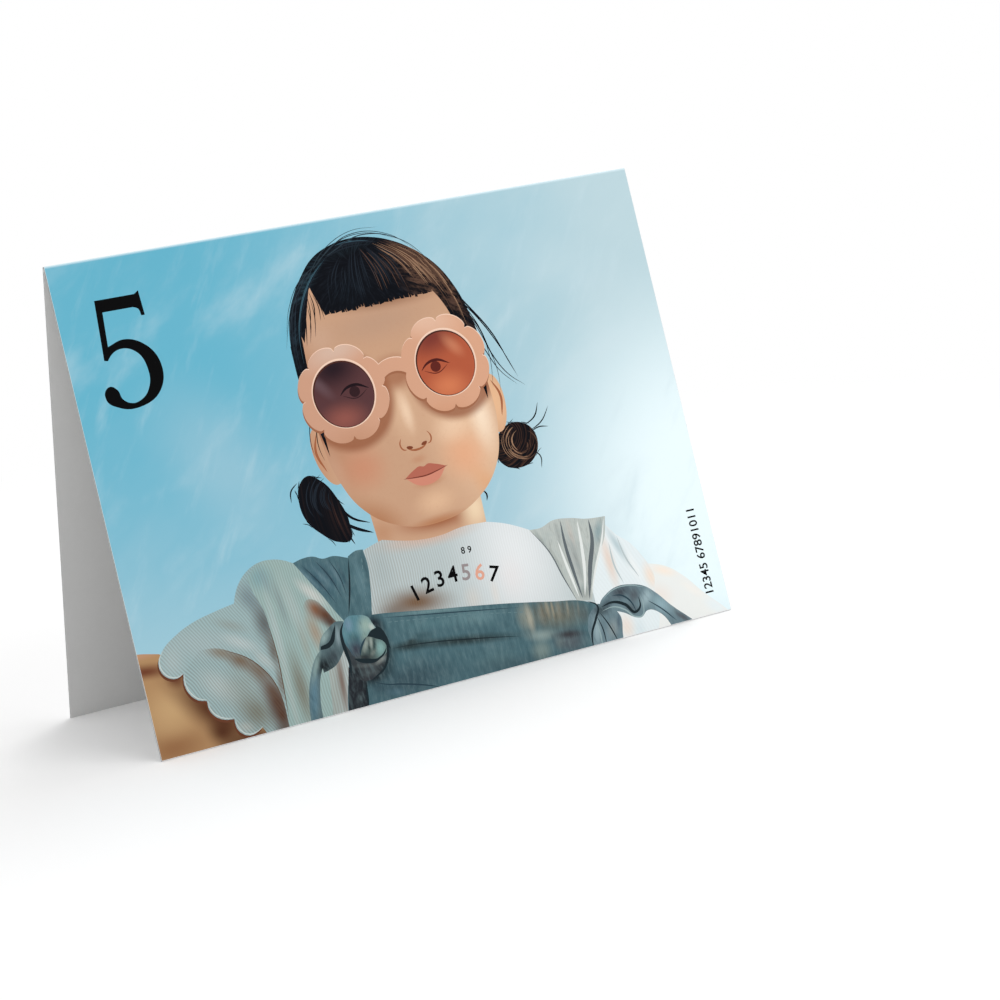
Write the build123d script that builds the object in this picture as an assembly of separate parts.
"""Greeting card: one sheet of board, scored, folded once and stood open like a tent.

The card stands on the floor, z = 0, on the two free edges of its panels. X runs along the
fold, the front panel leans back from the -Y side and the back panel from the +Y side, and
the origin lies on the floor, midway between the two free edges and midway along the fold.
"""

from build123d import *
from math import cos, radians, sin
import os

# Sizes of the sheet, in millimetres
card_width = 178.0  # along the fold, from cut edge to cut edge
panel_height = 130.0  # from the back of the fold to the free edge, with the card shut
board_thickness = 0.4

# How far the card stands open, in degrees
panel_lean = 13.8  # each panel from upright

# The scored fold, in millimetres
fold_radius = 0.55  # round back of the fold, outside
ridge_reach = 0.8  # how far down each inner face the pressed ridge of board fills the fold
ridge_bulge = 0.24  # how far the ridge stands down into the tent below that

# The trimmed edges, in millimetres
knife_round = 0.12  # outer corner of every cut edge, rolled over by the knife

lean_sin, lean_cos = sin(radians(panel_lean)), cos(radians(panel_lean))
straight_length = panel_height - fold_radius
inner_offset = fold_radius - board_thickness

# The centre of the fold's round back is as high as lets the inner corners of both free
# edges, the lowest points of the leaning panels, touch the floor.
fold_centre_z = straight_length * lean_cos - inner_offset * lean_sin


def on_panel(side, offset, distance):
    """Point of the section on a panel: side -1 is the front panel and +1 the back one.

    offset is measured square to the panel, outwards from the fold's centre, and distance
    down the panel from that centre.
    """
    y = side * (offset * lean_cos + distance * lean_sin)
    z = fold_centre_z + offset * lean_sin - distance * lean_cos
    return (y, z)


def sheet_section():
    """Section of the folded sheet across the fold, in the YZ plane."""
    crest = (0, fold_centre_z + fold_radius)
    outer_foot = {side: on_panel(side, fold_radius, straight_length) for side in (-1, 1)}
    outer_top = {side: on_panel(side, fold_radius, 0) for side in (-1, 1)}
    inner_foot = {side: on_panel(side, inner_offset, straight_length) for side in (-1, 1)}
    ridge_side = {side: on_panel(side, inner_offset, ridge_reach) for side in (-1, 1)}
    ridge_bottom = (0, ridge_side[1][1] - ridge_bulge)

    with BuildSketch(Plane.YZ) as section:
        with BuildLine():
            Line(outer_foot[-1], outer_top[-1])
            ThreePointArc(outer_top[-1], crest, outer_top[1])
            Polyline(outer_top[1], outer_foot[1], inner_foot[1], ridge_side[1])
            ThreePointArc(ridge_side[1], ridge_bottom, ridge_side[-1])
            Polyline(ridge_side[-1], inner_foot[-1], outer_foot[-1])
        make_face()
    return section.sketch


def rolled_edges(sheet):
    """Edges all round the outer skin, whose faces are the only ones that look upwards."""
    skin = [face for face in sheet.faces() if face.normal_at().Z > lean_sin / 2]
    skin_edges = [edge for face in skin for edge in face.edges()]
    return [
        edge
        for edge in skin_edges
        if sum(edge.is_same(other) for other in skin_edges) == 1
    ]


def folded_card():
    """The whole card: the section drawn out along the fold, with its cut edges rolled."""
    sheet = extrude(sheet_section(), amount=card_width / 2, both=True)
    return fillet(rolled_edges(sheet), knife_round)


os.makedirs("parts", exist_ok=True)
export_step(folded_card(), "parts/folded_card.step")
